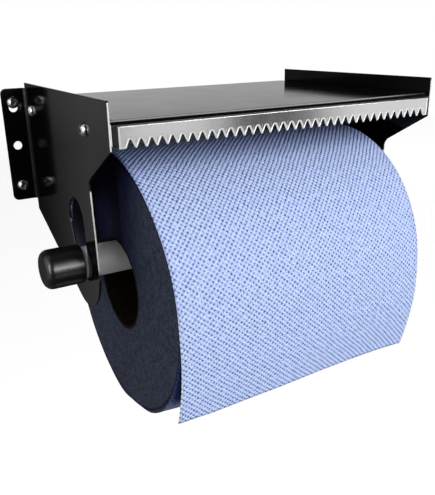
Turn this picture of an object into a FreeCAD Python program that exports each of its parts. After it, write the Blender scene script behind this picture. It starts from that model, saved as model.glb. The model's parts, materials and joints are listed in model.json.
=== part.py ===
import FreeCAD, Part
import math
import os
import Sketcher

# A wall-mounted holder for a roll of wiping paper, with a shelf on top and a toothed tear bar.
# Frame: X to the right, -Y to the front, Z up. The wall is the plane Y = 0, X = 0 is midway
# between the side plates, and Z = 0 is the height of the two free wall holes.
# Lengths are in millimetres.

doc = FreeCAD.newDocument("paper_roll_dispenser")
sizes = doc.addObject("Spreadsheet::Sheet", "Sizes")

SIZES = [
    # steel sheet of the plates and the shelf
    ("sheet_thickness", 1.5),
    ("bend_radius", 1.5),
    ("leg_overlap", 1),
    ("cut_through", 6),
    # side plates
    ("overall_width", 300),
    ("plate_depth", 216),
    ("front_edge_height", 33),
    ("throat_setback", 50.5),
    ("throat_drop", 61.7),
    ("throat_fillet", 9),
    ("back_edge_height", 120),
    ("corner_fillet", 2),
    ("arm_radius", 36.75),
    # wall flange of each side plate
    ("flange_width", 22),
    ("flange_height", 105),
    ("flange_relief", 4.5),
    ("flange_corner", 5),
    ("wall_hole_setback", 12),
    ("wall_hole_radius", 4),
    ("wall_hole_pitch", 38),
    ("wall_slot_travel", 6),
    ("wall_screw_rise", 1.7),
    # axle and its slots
    ("axle_setback", 82.5),
    ("axle_drop", 136.3),
    ("axle_radius", 13.3),
    ("axle_wall", 1.5),
    ("slot_clearance", 0.3),
    ("slot_head_radius", 18.2),
    ("slot_rise", 35.2),
    ("slot_lean", 7.5),
    # rubber end caps
    ("cap_radius", 16.25),
    ("cap_length", 32),
    ("cap_end_wall", 3.5),
    ("cap_rounding", 7),
    ("cap_rim_rounding", 0.8),
    ("cap_gap", 2.5),
    ("cap_fit", 0.05),
    # shelf
    ("shelf_drop", 12.8),
    ("shelf_wall_gap", 1),
    ("lip_height", 16.5),
    ("lip_end_gap", 1),
    ("shelf_flange_height", 20),
    ("corner_relief", 4),
    ("shelf_screw_drop", 24),
    ("front_screw_setback", 49),
    ("rear_screw_setback", 197),
    # tear blade
    ("blade_thickness", 1),
    ("blade_height", 15),
    ("blade_top_drop", 3.8),
    ("blade_end_gap", 3.7),
    ("blade_offset", 1.3),
    ("tooth_count", 35),
    ("end_land", 8.1),
    ("tooth_depth", 5.8),
    ("tooth_tip_width", 1.2),
    ("gullet_radius", 1.4),
    # paper roll
    ("roll_width", 243),
    ("roll_offset", 0.8),
    ("roll_radius", 111),
    ("core_bore_radius", 38.3),
    ("core_wall", 2.2),
    ("core_setback", 0.5),
    ("hang_gap", 0.3),
    ("roll_edge_rounding", 0.8),
    # free sheet
    ("paper_gap", 0.3),
    ("paper_thickness", 0.4),
    ("top_slack", 3),
    ("back_tuck", 1.3),
    ("wrap_start_angle", 20),
    ("tail_radius", 330),
    ("tail_angle", 14),
    # button head screws and their nuts
    ("screw_radius", 3),
    ("screw_head_radius", 5.25),
    ("screw_head_height", 3.3),
    ("screw_head_rim", 0.5),
    ("screw_head_flat", 2.9),
    ("screw_dome_radius", 5.2),
    ("screw_tip_chamfer", 0.6),
    ("socket_across", 4),
    ("socket_depth", 2),
    ("shelf_screw_length", 10),
    ("wall_screw_length", 16),
    ("screw_hole_radius", 3.3),
    ("nut_across", 10),
    ("nut_height", 5),
    ("thread_clearance", 0.05),
]
for row, (name, number) in enumerate(SIZES, start=1):
    cell = f"A{row}"
    sizes.set(cell, str(number))
    sizes.setAlias(cell, name)
doc.recompute()

# Places that several pieces share, written from the sizes.
PLATE_TOP = "(Sizes.flange_height / 2 + Sizes.flange_relief)"
PLATE_FRONT = "(-Sizes.plate_depth)"
BEND_OUTER = "(Sizes.bend_radius + Sizes.sheet_thickness)"
INNER_FACE = "(Sizes.overall_width / 2 - Sizes.sheet_thickness)"
AXLE_Y = f"({PLATE_FRONT} + Sizes.axle_setback)"
AXLE_Z = f"({PLATE_TOP} - Sizes.axle_drop)"
SHELF_TOP = f"({PLATE_TOP} - Sizes.shelf_drop)"
SHELF_SCREW_Z = f"({PLATE_TOP} - Sizes.shelf_screw_drop)"
SHELF_BACK = "(-Sizes.shelf_wall_gap)"
CORE_HANG = "(Sizes.core_bore_radius - Sizes.axle_radius - Sizes.hang_gap)"
ROLL_Z = f"({AXLE_Z} - {CORE_HANG})"
ROLL_LEFT = "(Sizes.roll_offset - Sizes.roll_width / 2)"
SHEET_INNER = "(Sizes.roll_radius + Sizes.paper_gap)"
WALL_HOLE_X = "(Sizes.overall_width / 2 + Sizes.wall_hole_setback)"

# An arc of half a turn between two pinned points is drawn this little wider, so it can be solved.
HALF_TURN_EASE = 1.0001
# The least share of the tear blade's strip that its gullets take away.
TEETH_SHARE = 0.05

NODES = []


def size(expression):
    """The number that an expression of the sizes comes to."""
    number = sizes.evalExpression(expression)
    return float(getattr(number, "Value", number))


def node(thing, name):
    """Name a finished piece and keep it for writing."""
    thing.Label = name
    NODES.append(thing)
    return thing


def place(thing, **axes):
    """Move a piece to a place given by expressions for x, y and z."""
    for axis, expression in axes.items():
        thing.setExpression(f"Placement.Base.{axis}", expression)


def new_body(name):
    return doc.addObject("PartDesign::Body", name + "_body")


def origin_feature(body, role):
    return next(item for item in body.Origin.OriginFeatures if item.Role == role)


def new_sketch(body, name, role):
    """An empty sketch on one of the body's own origin planes."""
    sketch = body.newObject("Sketcher::SketchObject", name)
    sketch.AttachmentSupport = [(origin_feature(body, role), "")]
    sketch.MapMode = "FlatFace"
    return sketch


def bind(sketch, constraint, expression):
    number = sketch.addConstraint(constraint)
    sketch.setExpression(f"Constraints[{number}]", expression)


def pin(sketch, geometry, end, x, y):
    """Tie a point of the sketch to a place given by two expressions."""
    for kind, axis, expression in (("DistanceX", -2, x), ("DistanceY", -1, y)):
        distance = size(expression)
        if abs(distance) < 1e-9:
            sketch.addConstraint(Sketcher.Constraint("PointOnObject", geometry, end, axis))
        else:
            constraint = Sketcher.Constraint(kind, -1, 1, geometry, end, distance)
            bind(sketch, constraint, expression)


def arc_between(start, end, radius, turn):
    """A circular arc of under half a turn. turn is 1 for anticlockwise and -1 for clockwise."""
    middle = (start + end) * 0.5
    half = (end - start) * 0.5
    reach = math.sqrt(max(radius ** 2 - half.Length ** 2, 0))
    side = FreeCAD.Vector(-half.y, half.x, 0).normalize()
    bulge = middle + side * (reach - radius) * turn
    return Part.Arc(start, bulge, end)


def outline(sketch, corners):
    """A closed outline. A corner is (x, y), or (x, y, radius, turn) where an arc leaves it."""
    first = sketch.GeometryCount
    points = [FreeCAD.Vector(size(corner[0]), size(corner[1]), 0) for corner in corners]
    count = len(corners)
    heads = []
    tails = []
    for number, corner in enumerate(corners):
        start = points[number]
        end = points[(number + 1) % count]
        if len(corner) == 2:
            sketch.addGeometry(Part.LineSegment(start, end))
            heads.append(1)
            tails.append(2)
        else:
            radius, turn = corner[2:]
            sketch.addGeometry(arc_between(start, end, size(radius), turn))
            bind(sketch, Sketcher.Constraint("Radius", first + number, size(radius)), radius)
            heads.append(1 if turn > 0 else 2)
            tails.append(2 if turn > 0 else 1)
    for number, corner in enumerate(corners):
        following = (number + 1) % count
        joint = (first + number, tails[number], first + following, heads[following])
        sketch.addConstraint(Sketcher.Constraint("Coincident", *joint))
        pin(sketch, first + number, heads[number], corner[0], corner[1])


def circle(sketch, x, y, radius):
    centre = FreeCAD.Vector(size(x), size(y), 0)
    number = sketch.addGeometry(Part.Circle(centre, FreeCAD.Vector(0, 0, 1), size(radius)))
    bind(sketch, Sketcher.Constraint("Radius", number, size(radius)), radius)
    pin(sketch, number, 3, x, y)


def belt(sketch, upper, lower):
    """Two round ends joined by straight sides. Each end is (x, y, radius), the upper one first."""
    centres = [FreeCAD.Vector(size(x), size(y), 0) for x, y, radius in (upper, lower)]
    radii = [size(upper[2]), size(lower[2])]
    span = centres[1] - centres[0]
    heading = math.atan2(span.y, span.x)
    opening = math.acos((radii[0] - radii[1]) / span.Length)
    left = heading - opening
    right = heading + opening

    def touch(number, angle):
        return centres[number] + FreeCAD.Vector(math.cos(angle), math.sin(angle), 0) * radii[number]

    def end_arc(number, start, finish):
        ring = Part.Circle(centres[number], FreeCAD.Vector(0, 0, 1), radii[number])
        return sketch.addGeometry(Part.ArcOfCircle(ring, start, finish))

    top = end_arc(0, right, left + 2 * math.pi)
    side_left = sketch.addGeometry(Part.LineSegment(touch(0, left), touch(1, left)))
    bottom = end_arc(1, left, right)
    side_right = sketch.addGeometry(Part.LineSegment(touch(1, right), touch(0, right)))
    for joint in ((top, 2, side_left, 1), (side_left, 2, bottom, 1), (bottom, 2, side_right, 1),
                  (side_right, 2, top, 1)):
        sketch.addConstraint(Sketcher.Constraint("Tangent", *joint))
    for number, (x, y, radius) in ((top, upper), (bottom, lower)):
        bind(sketch, Sketcher.Constraint("Radius", number, size(radius)), radius)
        pin(sketch, number, 3, x, y)


def bent_sheet(sketch, corner_x, corner_y, along_x, along_y):
    """The section of a sheet folded square. The outer corner is at (corner_x, corner_y), and the
    two legs run from it by the signed lengths along_x and along_y."""
    side_x = 1 if size(along_x) > 0 else -1
    side_y = 1 if size(along_y) > 0 else -1
    turn = -side_x * side_y
    far_x = f"{corner_x} + {along_x}"
    far_y = f"{corner_y} + {along_y}"
    bend_x = f"{corner_x} + {side_x} * {BEND_OUTER}"
    bend_y = f"{corner_y} + {side_y} * {BEND_OUTER}"
    inner_x = f"{corner_x} + {side_x} * Sizes.sheet_thickness"
    inner_y = f"{corner_y} + {side_y} * Sizes.sheet_thickness"
    outline(sketch, [
        (far_x, corner_y),
        (bend_x, corner_y, BEND_OUTER, -turn),
        (corner_x, bend_y),
        (corner_x, far_y),
        (inner_x, far_y),
        (inner_x, bend_y, "Sizes.bend_radius", turn),
        (bend_x, inner_y),
        (far_x, inner_y),
    ])


def pad(body, name, sketch, length, reverse=False, symmetric=False):
    feature = body.newObject("PartDesign::Pad", name)
    feature.Profile = sketch
    feature.setExpression("Length", length)
    feature.Reversed = reverse
    feature.SideType = "Symmetric" if symmetric else "One side"
    doc.recompute()
    return feature


def pocket(body, name, sketch, length, symmetric=True, reverse=False):
    """Cut a sketch out of the body, and make sure that something was cut."""
    before = body.Shape.Volume
    feature = body.newObject("PartDesign::Pocket", name)
    feature.Profile = sketch
    feature.setExpression("Length", length)
    feature.SideType = "Symmetric" if symmetric else "One side"
    feature.Reversed = reverse
    doc.recompute()
    if body.Shape.Volume > before - 1e-3:
        raise RuntimeError(f"{name} cuts nothing")
    return feature


def edges_at(shape, axis, places, spread):
    """Names of the straight edges along one axis that stand at one of the given places.
    places are pairs of the two other coordinates, in X, Y, Z order."""
    names = []
    for number, edge in enumerate(shape.Edges, start=1):
        if len(edge.Vertexes) != 2 or edge.Curve.TypeId != "Part::GeomLine":
            continue
        direction = edge.Vertexes[1].Point - edge.Vertexes[0].Point
        across = [list(edge.Vertexes[0].Point)[other] for other in range(3) if other != axis]
        along = abs(list(direction)[axis]) > direction.Length * 0.999
        if along and any(math.dist(across, spot) < spread for spot in places):
            names.append(f"Edge{number}")
    return names


def fillet(body, name, base, names, radius):
    feature = body.newObject("PartDesign::Fillet", name)
    feature.Base = (base, names)
    feature.setExpression("Radius", radius)
    doc.recompute()
    return feature


def plate_outline(body):
    """The side plate's face: its straight edges, and the arm's round tip about the axle."""
    sketch = new_sketch(body, "plate_outline", "YZ_Plane")
    back = f"(-{BEND_OUTER})"
    corners = [
        (back, f"{PLATE_TOP} - Sizes.back_edge_height"),
        (back, PLATE_TOP),
        (PLATE_FRONT, PLATE_TOP),
        (PLATE_FRONT, f"{PLATE_TOP} - Sizes.front_edge_height"),
        (f"{PLATE_FRONT} + Sizes.throat_setback", f"{PLATE_TOP} - Sizes.throat_drop"),
    ]
    points = [FreeCAD.Vector(size(y), size(z), 0) for y, z in corners]
    centre = FreeCAD.Vector(size(AXLE_Y), size(AXLE_Z), 0)
    radius = size("Sizes.arm_radius")

    def touch_angle(point, side):
        away = point - centre
        return math.atan2(away.y, away.x) + side * math.acos(radius / away.Length)

    front = touch_angle(points[-1], 1)
    rear = touch_angle(points[0], -1)
    tip = Part.Circle(centre, FreeCAD.Vector(0, 0, 1), radius)
    arc_shape = Part.ArcOfCircle(tip, front, rear + 2 * math.pi)
    rear_touch = arc_shape.EndPoint
    front_touch = arc_shape.StartPoint
    path = [rear_touch] + points + [front_touch]
    for start, end in zip(path, path[1:]):
        sketch.addGeometry(Part.LineSegment(start, end))
    last = len(path) - 2
    for number in range(last):
        sketch.addConstraint(Sketcher.Constraint("Coincident", number, 2, number + 1, 1))
        pin(sketch, number, 2, *corners[number])
    arc = sketch.addGeometry(arc_shape)
    sketch.addConstraint(Sketcher.Constraint("Tangent", last, 2, arc, 1))
    sketch.addConstraint(Sketcher.Constraint("Tangent", arc, 2, 0, 1))
    bind(sketch, Sketcher.Constraint("Radius", arc, radius), "Sizes.arm_radius")
    pin(sketch, arc, 3, AXLE_Y, AXLE_Z)
    return sketch


def make_side_plates():
    """The left plate is folded from one sheet. Its own X is 0 on the outer face and grows
    inwards. The right plate is its mirror image."""
    body = new_body("left_side_plate")
    plate = pad(body, "plate", plate_outline(body), "Sizes.sheet_thickness")
    spots = [(size(PLATE_FRONT), size(PLATE_TOP)),
             (size(PLATE_FRONT), size(f"{PLATE_TOP} - Sizes.front_edge_height")),
             (-size(BEND_OUTER), size(f"{PLATE_TOP} - Sizes.back_edge_height"))]
    corners = edges_at(plate.Shape, 0, spots, 0.01)
    outer = fillet(body, "plate_corners", plate, corners, "Sizes.corner_fillet")
    spots = [(size(f"{PLATE_FRONT} + Sizes.throat_setback"), size(f"{PLATE_TOP} - Sizes.throat_drop"))]
    fillet(body, "throat_fillet", outer, edges_at(outer.Shape, 0, spots, 0.01), "Sizes.throat_fillet")

    sketch = new_sketch(body, "flange_section", "XY_Plane")
    bent_sheet(sketch, "Sizes.sheet_thickness", "0",
               "(-Sizes.flange_width - Sizes.sheet_thickness)", f"(-{BEND_OUTER} - Sizes.leg_overlap)")
    flange = pad(body, "flange", sketch, "Sizes.flange_height", symmetric=True)
    half = size("Sizes.flange_height / 2")
    spots = [(-size("Sizes.flange_width"), half), (-size("Sizes.flange_width"), -half)]
    fillet(body, "flange_corners", flange, edges_at(flange.Shape, 1, spots, 0.01), "Sizes.flange_corner")

    sketch = new_sketch(body, "axle_slot", "YZ_Plane")
    head = (f"{AXLE_Y} + Sizes.slot_lean", f"{AXLE_Z} + Sizes.slot_rise", "Sizes.slot_head_radius")
    foot = (AXLE_Y, AXLE_Z, "Sizes.axle_radius + Sizes.slot_clearance")
    belt(sketch, head, foot)
    pocket(body, "axle_slot_cut", sketch, "Sizes.cut_through")

    sketch = new_sketch(body, "shelf_screw_holes", "YZ_Plane")
    for setback in ("front_screw_setback", "rear_screw_setback"):
        circle(sketch, f"{PLATE_FRONT} + Sizes.{setback}", SHELF_SCREW_Z, "Sizes.screw_hole_radius")
    pocket(body, "shelf_screw_cut", sketch, "Sizes.cut_through")

    sketch = new_sketch(body, "wall_holes", "XZ_Plane")
    column = "(-Sizes.wall_hole_setback)"
    circle(sketch, column, "0", "Sizes.wall_hole_radius")
    circle(sketch, column, "-Sizes.wall_hole_pitch", "Sizes.wall_hole_radius")
    belt(sketch, (column, "Sizes.wall_hole_pitch + Sizes.wall_slot_travel / 2", "Sizes.wall_hole_radius"),
         (column, "Sizes.wall_hole_pitch - Sizes.wall_slot_travel / 2", "Sizes.wall_hole_radius"))
    pocket(body, "wall_hole_cut", sketch, "Sizes.cut_through")
    place(body, x="-Sizes.overall_width / 2")
    node(body, "left_side_plate")
    node(mirror_image(body, "right_side_plate"), "right_side_plate")


def mirror_image(source, name):
    """The same piece on the other side of the middle plane."""
    mirrored = doc.addObject("Part::Mirroring", name + "_mirror")
    mirrored.Source = source
    mirrored.Normal = (1, 0, 0)
    return mirrored


def make_shelf():
    """A tray with its front edge and both sides folded down. The corners are cut free."""
    body = new_body("shelf")
    lip_half = f"({INNER_FACE} - Sizes.lip_end_gap)"
    flat_half = f"({INNER_FACE} - {BEND_OUTER})"
    bend_line = f"({PLATE_FRONT} + {BEND_OUTER})"
    side_start = f"({bend_line} + Sizes.corner_relief)"

    sketch = new_sketch(body, "top_outline", "XY_Plane")
    outline(sketch, [(f"-{flat_half}", bend_line), (flat_half, bend_line),
                     (flat_half, SHELF_BACK), (f"-{flat_half}", SHELF_BACK)])
    sketch.setExpression("AttachmentOffset.Base.z", SHELF_TOP)
    pad(body, "top", sketch, "Sizes.sheet_thickness", reverse=True)

    sketch = new_sketch(body, "lip_section", "YZ_Plane")
    bent_sheet(sketch, PLATE_FRONT, SHELF_TOP, f"({BEND_OUTER} + Sizes.leg_overlap)", "(-Sizes.lip_height)")
    pad(body, "lip", sketch, f"2 * {lip_half}", symmetric=True)

    sketch = new_sketch(body, "side_section", "XZ_Plane")
    bent_sheet(sketch, INNER_FACE, SHELF_TOP, f"(-{BEND_OUTER} - Sizes.leg_overlap)", "(-Sizes.shelf_flange_height)")
    sketch.setExpression("AttachmentOffset.Base.z", f"-{SHELF_BACK}")
    side = pad(body, "side", sketch, f"{SHELF_BACK} - {side_start}")
    both = body.newObject("PartDesign::Mirrored", "both_sides")
    both.Originals = [side]
    both.MirrorPlane = (origin_feature(body, "YZ_Plane"), [""])
    body.Tip = both
    doc.recompute()

    sketch = new_sketch(body, "side_screw_holes", "YZ_Plane")
    for setback in ("front_screw_setback", "rear_screw_setback"):
        circle(sketch, f"{PLATE_FRONT} + Sizes.{setback}", SHELF_SCREW_Z, "Sizes.screw_hole_radius")
    pocket(body, "side_screw_cut", sketch, "Sizes.overall_width")
    node(body, "shelf")


def make_tear_blade():
    """A flat strip on the lip's front. Its lower edge has one more gullet than it has teeth."""
    body = new_body("tear_blade")
    half = f"({INNER_FACE} - Sizes.blade_end_gap)"
    top = f"({SHELF_TOP} - Sizes.blade_top_drop)"
    tips = f"({top} - Sizes.blade_height)"
    sketch = new_sketch(body, "strip_outline", "XZ_Plane")
    left = f"(Sizes.blade_offset - {half})"
    right = f"(Sizes.blade_offset + {half})"
    outline(sketch, [(left, tips), (right, tips), (right, top), (left, top)])
    sketch.setExpression("AttachmentOffset.Base.z", "Sizes.plate_depth")
    strip = pad(body, "strip", sketch, "Sizes.blade_thickness")

    toothed = f"(2 * {half} - 2 * Sizes.end_land)"
    first = f"({left} + Sizes.end_land)"
    mouth = f"(({toothed} / Sizes.tooth_count - Sizes.tooth_tip_width) / 2)"
    root = f"({tips} + Sizes.tooth_depth)"
    shoulder = f"({root} - Sizes.gullet_radius)"
    sketch = new_sketch(body, "gullet_outline", "XZ_Plane")
    outline(sketch, [
        (f"{first} - {mouth}", tips),
        (f"{first} + {mouth}", tips),
        (f"{first} + Sizes.gullet_radius", shoulder, f"Sizes.gullet_radius * {HALF_TURN_EASE}", 1),
        (f"{first} - Sizes.gullet_radius", shoulder),
    ])
    sketch.setExpression("AttachmentOffset.Base.z", "Sizes.plate_depth")
    gullet = pocket(body, "gullet", sketch, "Sizes.cut_through")
    teeth = body.newObject("PartDesign::LinearPattern", "teeth")
    teeth.Originals = [gullet]
    teeth.Direction = (origin_feature(body, "X_Axis"), [""])
    teeth.setExpression("Length", toothed)
    teeth.setExpression("Occurrences", "Sizes.tooth_count + 1")
    body.Tip = teeth
    doc.recompute()
    if body.Shape.Volume > strip.Shape.Volume * (1 - TEETH_SHARE):
        raise RuntimeError("the teeth are missing")
    node(body, "tear_blade")


def tube(name, radius, wall, length, left, y, z):
    """A round tube along X, from its left end."""
    cylinders = []
    for part, reach in (("outside", radius), ("bore", f"{radius} - {wall}")):
        cylinder = doc.addObject("Part::Cylinder", f"{name}_{part}")
        cylinder.setExpression("Radius", reach)
        cylinder.setExpression("Height", length)
        cylinder.Placement.Rotation = FreeCAD.Rotation(FreeCAD.Vector(0, 1, 0), 90)
        cylinders.append(cylinder)
    cut = doc.addObject("Part::Cut", f"{name}_tube")
    cut.Base, cut.Tool = cylinders
    place(cut, x=left, y=y, z=z)
    return cut


def make_axle():
    """The tube that the roll hangs on, from cap to cap."""
    reach = "(Sizes.overall_width / 2 + Sizes.cap_gap + Sizes.cap_length - Sizes.cap_end_wall)"
    piece = tube("axle", "Sizes.axle_radius", "Sizes.axle_wall", f"2 * {reach}", f"-{reach}", AXLE_Y, AXLE_Z)
    node(piece, "axle_tube")


def make_end_caps():
    """A rubber cup on each end of the axle. It is too wide for the slot's narrow foot."""
    body = new_body("left_end_cap")
    bore = "(Sizes.axle_radius + Sizes.cap_fit)"
    sketch = new_sketch(body, "cap_section", "XY_Plane")
    end = "(-Sizes.cap_length)"
    outline(sketch, [
        (end, "0"),
        (f"{end} + Sizes.cap_end_wall", "0"),
        (f"{end} + Sizes.cap_end_wall", bore),
        ("0", bore),
        ("0", "Sizes.cap_radius - Sizes.cap_rim_rounding", "Sizes.cap_rim_rounding", 1),
        ("-Sizes.cap_rim_rounding", "Sizes.cap_radius"),
        (f"{end} + Sizes.cap_rounding", "Sizes.cap_radius", "Sizes.cap_rounding", 1),
        (end, "Sizes.cap_radius - Sizes.cap_rounding"),
    ])
    turn = body.newObject("PartDesign::Revolution", "cap_turn")
    turn.Profile = sketch
    turn.ReferenceAxis = (sketch, ["H_Axis"])
    turn.Angle = 360
    doc.recompute()
    place(body, x="-Sizes.overall_width / 2 - Sizes.cap_gap", y=AXLE_Y, z=AXLE_Z)
    node(body, "left_end_cap")
    node(mirror_image(body, "right_end_cap"), "right_end_cap")


def make_roll():
    """The wound paper, its cardboard core and the outer layer that hangs down in front. The
    core hangs on the axle, so the roll's axis is below the axle's."""
    outside = "(Sizes.core_bore_radius + Sizes.core_wall)"
    core = tube("core", outside, "Sizes.core_wall", "Sizes.roll_width - 2 * Sizes.core_setback",
                f"{ROLL_LEFT} + Sizes.core_setback", AXLE_Y, ROLL_Z)
    node(core, "roll_core")

    body = new_body("paper_roll")
    sketch = new_sketch(body, "roll_section", "XY_Plane")
    edge = "Sizes.roll_edge_rounding"
    outline(sketch, [
        ("0", outside),
        ("Sizes.roll_width", outside),
        ("Sizes.roll_width", f"Sizes.roll_radius - {edge}", edge, 1),
        (f"Sizes.roll_width - {edge}", "Sizes.roll_radius"),
        (edge, "Sizes.roll_radius", edge, 1),
        ("0", f"Sizes.roll_radius - {edge}"),
    ])
    turn = body.newObject("PartDesign::Revolution", "roll_turn")
    turn.Profile = sketch
    turn.ReferenceAxis = (sketch, ["H_Axis"])
    turn.Angle = 360
    doc.recompute()
    place(body, x=ROLL_LEFT, y=AXLE_Y, z=ROLL_Z)
    node(body, "paper_roll")


def make_paper_sheet():
    """The outer layer and its free tail. The layer leaves the roll below its back, lies loose
    over the top and touches it again in front. The tail hangs from there with a slight curl
    towards the wall."""
    body = new_body("paper_sheet")
    sketch = new_sketch(body, "sheet_section", "YZ_Plane")
    skin = "Sizes.paper_thickness"
    front = f"(-{SHEET_INNER})"
    swing = f"({front} + Sizes.tail_radius)"
    over = f"({SHEET_INNER} + Sizes.top_slack)"
    behind = f"({SHEET_INNER} - Sizes.back_tuck)"
    tail = {}
    start = {}
    for side, extra in (("inner", "0"), ("outer", skin)):
        far = f"(Sizes.tail_radius + {extra})"
        near = f"({behind} + {extra})"
        tail[side] = (f"{swing} - {far} * cos(Sizes.tail_angle)", f"-{far} * sin(Sizes.tail_angle)")
        start[side] = (f"Sizes.top_slack + {near} * cos(Sizes.wrap_start_angle)",
                       f"{over} - {behind} - {near} * sin(Sizes.wrap_start_angle)")
    outline(sketch, [
        (*start["inner"], behind, 1),
        ("Sizes.top_slack", over, over, 1),
        (front, "0", "Sizes.tail_radius", 1),
        tail["inner"],
        (*tail["outer"], f"Sizes.tail_radius + {skin}", -1),
        (f"{front} - {skin}", "0", f"{over} + {skin}", -1),
        ("Sizes.top_slack", f"{over} + {skin}", f"{behind} + {skin}", -1),
        start["outer"],
    ])
    pad(body, "sheet", sketch, "Sizes.roll_width")
    place(body, x=ROLL_LEFT, y=AXLE_Y, z=ROLL_Z)
    node(body, "paper_sheet")


def hexagon(sketch, across):
    """A regular hexagon about the sketch's origin, with a flat on each side."""
    corners = []
    for number in range(6):
        angle = 60 * number
        corners.append((f"{across} / sqrt(3) * cos({angle})", f"{across} / sqrt(3) * sin({angle})"))
    outline(sketch, corners)


def make_screw(name, length, turn, **spot):
    """A button head screw with a hexagon socket. It points along its own X, and X is 0 under
    the head."""
    body = new_body(name)
    sketch = new_sketch(body, "screw_section", "XY_Plane")
    top = "(-Sizes.screw_head_height)"
    outline(sketch, [
        (top, "0"),
        (length, "0"),
        (length, "Sizes.screw_radius - Sizes.screw_tip_chamfer"),
        (f"{length} - Sizes.screw_tip_chamfer", "Sizes.screw_radius"),
        ("0", "Sizes.screw_radius"),
        ("0", "Sizes.screw_head_radius"),
        ("-Sizes.screw_head_rim", "Sizes.screw_head_radius", "Sizes.screw_dome_radius", 1),
        (top, "Sizes.screw_head_flat"),
    ])
    turned = body.newObject("PartDesign::Revolution", "screw_turn")
    turned.Profile = sketch
    turned.ReferenceAxis = (sketch, ["H_Axis"])
    turned.Angle = 360
    doc.recompute()
    sketch = new_sketch(body, "socket_outline", "YZ_Plane")
    hexagon(sketch, "Sizes.socket_across")
    sketch.setExpression("AttachmentOffset.Base.z", top)
    pocket(body, "socket", sketch, "Sizes.socket_depth", symmetric=False, reverse=True)
    body.Placement.Rotation = FreeCAD.Rotation(FreeCAD.Vector(0, 0, 1), turn)
    place(body, **spot)
    node(body, name)


def make_nut(name, turn, **spot):
    """A hexagon nut. It lies on the side of its own X that the screw comes out of."""
    body = new_body(name)
    sketch = new_sketch(body, "nut_outline", "YZ_Plane")
    hexagon(sketch, "Sizes.nut_across")
    circle(sketch, "0", "0", "Sizes.screw_radius + Sizes.thread_clearance")
    pad(body, "nut", sketch, "Sizes.nut_height")
    body.Placement.Rotation = FreeCAD.Rotation(FreeCAD.Vector(0, 0, 1), turn)
    place(body, **spot)
    node(body, name)


def make_fasteners():
    """Screws and nuts that hold the shelf between the plates, and the screws in the wall."""
    wall_height = {"top": "Sizes.wall_hole_pitch + Sizes.wall_screw_rise",
                   "bottom": "-Sizes.wall_hole_pitch"}
    nut_seat = f"({INNER_FACE} - Sizes.sheet_thickness)"
    for side, sign, turn in (("left", -1, 0), ("right", 1, 180)):
        for end in ("front", "rear"):
            y = f"{PLATE_FRONT} + Sizes.{end}_screw_setback"
            make_screw(f"shelf_screw_{side}_{end}", "Sizes.shelf_screw_length", turn,
                       x=f"{sign} * Sizes.overall_width / 2", y=y, z=SHELF_SCREW_Z)
            make_nut(f"shelf_nut_{side}_{end}", turn, x=f"{sign} * {nut_seat}", y=y, z=SHELF_SCREW_Z)
        for end in ("top", "bottom"):
            make_screw(f"wall_screw_{side}_{end}", "Sizes.wall_screw_length", 90,
                       x=f"{sign} * {WALL_HOLE_X}", y="-Sizes.sheet_thickness", z=wall_height[end])


def check_and_write():
    """Refuse a failed feature or a broken solid, and then write one file for each piece."""
    doc.recompute()
    failed = [item.Name for item in doc.Objects if {"Invalid", "Error"} & set(item.State)]
    if failed:
        raise RuntimeError(f"failed features: {failed}")
    for piece in NODES:
        if piece.Shape.isNull() or not piece.Shape.isValid() or len(piece.Shape.Solids) != 1:
            raise RuntimeError(f"{piece.Label} is not one sound solid")
    os.makedirs("parts", exist_ok=True)
    for piece in NODES:
        piece.Shape.exportStep(f"parts/{piece.Label}.step")
        print(f"{piece.Label}: {piece.Shape.Volume / 1000:.2f} cm3")


make_side_plates()
make_shelf()
make_tear_blade()
make_axle()
make_end_caps()
make_roll()
make_paper_sheet()
make_fasteners()
check_and_write()
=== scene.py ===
import json
import math

import bmesh
import bpy
import numpy as np
from mathutils import Matrix, Vector


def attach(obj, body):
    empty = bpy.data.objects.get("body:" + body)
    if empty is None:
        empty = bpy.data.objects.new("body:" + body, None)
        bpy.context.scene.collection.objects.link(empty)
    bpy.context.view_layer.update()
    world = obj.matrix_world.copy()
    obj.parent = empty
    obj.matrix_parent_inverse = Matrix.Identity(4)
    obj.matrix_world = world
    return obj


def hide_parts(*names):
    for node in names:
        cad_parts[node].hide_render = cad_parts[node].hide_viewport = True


# Looks of a wall-mounted holder for a roll of wiping paper. Everything is in metres, in the
# CAD frame: X to the right, -Y to the front, Z up, the wall at Y = 0.

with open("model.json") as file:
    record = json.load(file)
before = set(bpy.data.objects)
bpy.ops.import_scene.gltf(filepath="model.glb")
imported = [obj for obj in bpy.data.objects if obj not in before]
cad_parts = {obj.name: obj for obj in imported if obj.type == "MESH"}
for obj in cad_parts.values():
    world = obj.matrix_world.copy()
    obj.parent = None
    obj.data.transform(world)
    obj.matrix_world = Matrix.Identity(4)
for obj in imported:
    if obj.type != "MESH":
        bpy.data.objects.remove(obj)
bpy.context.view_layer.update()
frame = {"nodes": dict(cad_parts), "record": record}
NODES = frame["nodes"]

# The roll. Angles round it go from the front over the top. Shares across it go from 0 at its
# left end to 1 at its right end.

ROLL_Y = -0.1335
ROLL_Z = -0.1040
ROLL_LEFT = -0.1207
ROLL_RIGHT = 0.1223
ROLL_WIDTH = ROLL_RIGHT - ROLL_LEFT
ROLL_RADIUS = 0.111
CORE_RADIUS = 0.0405
# How far the outer turns have slipped to the left, in metres, at angles in degrees.
SLIP = ((-180, 0.0024), (-147, 0.0005), (-100, 0.0), (-40, -0.0006), (-12, -0.001), (0, -0.0009),
        (20, -0.0003), (45, 0.0011), (90, 0.0018), (120, 0.003), (150, 0.0042), (168, 0.0042),
        (180, 0.0024))
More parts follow.
